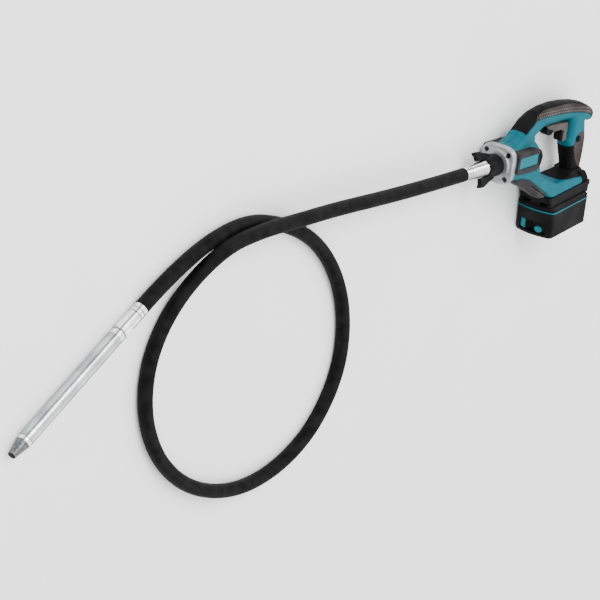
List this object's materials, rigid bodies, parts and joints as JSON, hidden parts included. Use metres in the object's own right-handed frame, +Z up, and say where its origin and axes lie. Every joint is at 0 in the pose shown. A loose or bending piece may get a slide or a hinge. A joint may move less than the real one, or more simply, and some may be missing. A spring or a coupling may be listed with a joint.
{
  "type": "concrete vibrator",
  "caption": "Cordless poker vibrator: a D-handled motor unit with a slide-on battery drives a slim steel vibrating head through a long flexible rubber shaft.",
  "frame": {"origin": "on the floor under the motor axis, at the outer face of the nameplate on the tool's right side, which the tool lies on", "axes": "+Z up from the floor, towards the tool's left side; +X along the motor axis away from the hose; +Y towards the top of the tool's handle"},
  "size_m": [1.4102, 0.5182, 0.074],
  "materials": {
    "teal_housing": "moulded, fine grain",
    "teal_plate": "satin",
    "soft_black": "matte, ribbed",
    "black_nylon": "fine grain",
    "bumper_grey": "matte",
    "battery_black": "fine grain",
    "cast_flange": "cast",
    "satin_steel": "satin",
    "dark_steel": "oiled",
    "hose_rubber": "matte",
    "magnet_grey": "sintered",
    "lamination": "laminated",
    "copper": "bare",
    "carbon": "matt",
    "cell_wrap": "shrink wrap"
  },
  "bodies": {
    "tool": {"battery_mount": "black_nylon", "battery_terminals": "copper", "brush_holder": "black_nylon", "brushes": "carbon", "drive_core": "satin_steel", "flange_bolts": "dark_steel", "foot_cover": "soft_black", "front_flange": "cast_flange", "head_bearings": "satin_steel", "head_collar": "satin_steel", "head_ferrule": "satin_steel", "head_nut": "satin_steel", "head_seal": "soft_black", "head_tip": "satin_steel", "head_tube": "satin_steel", "hose_casing": "hose_rubber", "hose_ferrule": "satin_steel", "housing_left": "teal_housing", "housing_right": "teal_housing", "housing_screws": "dark_steel", "lock_button_spring": "satin_steel", "lower_bumper": "bumper_grey", "magnets": "magnet_grey", "motor_bearings": "satin_steel", "motor_can": "dark_steel", "nameplate_left": "teal_plate", "nameplate_right": "teal_plate", "rear_bearing_seat": "black_nylon", "rear_grip": "soft_black", "side_bumper_left": "bumper_grey", "side_bumper_right": "bumper_grey", "switch_body": "black_nylon", "terminal_block": "black_nylon", "top_grip": "soft_black", "trigger_pin": "satin_steel"},
    "trigger": {"trigger": "black_nylon"},
    "lock_button": {"lock_button": "black_nylon"},
    "coupling_ring": {"coupling_ring": "black_nylon"},
    "rotor": {"armature": "lamination", "motor_shaft": "satin_steel", "commutator": "copper", "fan": "black_nylon", "drive_socket": "satin_steel", "core_drive_end": "satin_steel"},
    "battery": {"battery_lower_case": "battery_black", "battery_seam": "teal_plate", "battery_upper_case": "battery_black", "battery_cells": "cell_wrap", "battery_screws": "dark_steel"},
    "release_button": {"release_button": "teal_plate", "battery_latch": "black_nylon"},
    "eccentric": {"eccentric_rotor": "dark_steel"},
    "hex_key": {"hex_key": "dark_steel"}
  },
  "joints": [
    {"name": "trigger_pull", "type": "hinge", "parent": "tool", "child": "trigger", "pos_m": [0.094, 0.05, 0.037], "axis": [0, 0, 1], "range_deg": [0, 3], "stiffness_Nm_per_rad": 1.5, "springref_deg": -22.92},
    {"name": "lock_button_press", "type": "slide", "parent": "tool", "child": "lock_button", "axis": [0, 0, -1], "range_m": [0, 0.003], "stiffness_N_per_m": 600, "springref_m": -0.002, "deforming": ["lock_button_spring"]},
    {"name": "coupling_ring_turn", "type": "hinge", "parent": "tool", "child": "coupling_ring", "pos_m": [-0.07, 0, 0.037], "axis": [1, 0, 0], "range_deg": [0, 90]},
    {"name": "motor_spin", "type": "hinge", "parent": "tool", "child": "rotor", "pos_m": [0, 0, 0.037], "axis": [-1, 0, 0], "continuous": true},
    {"name": "battery_slide", "type": "slide", "parent": "tool", "child": "battery", "axis": [-0.9954, -0.0958, 0], "range_m": [0, 0.1]},
    {"name": "battery_release", "type": "slide", "parent": "battery", "child": "release_button", "axis": [0.0958, -0.9954, 0], "range_m": [0, 0.0025], "stiffness_N_per_m": 900, "springref_m": -0.002},
    {"name": "eccentric_spin", "type": "hinge", "parent": "tool", "child": "eccentric", "pos_m": [-0.921, -0.0605, 0.0113], "axis": [-0.8463, -0.5327, 0], "continuous": true},
    {"name": "hex_key_pull", "type": "slide", "parent": "tool", "child": "hex_key", "axis": [0, 0, 1], "range_m": [0, 0.012]}
  ],
  "couplings": [
    {"joint": "eccentric_spin", "follows": "motor_spin", "ratio": 1}
  ]
}
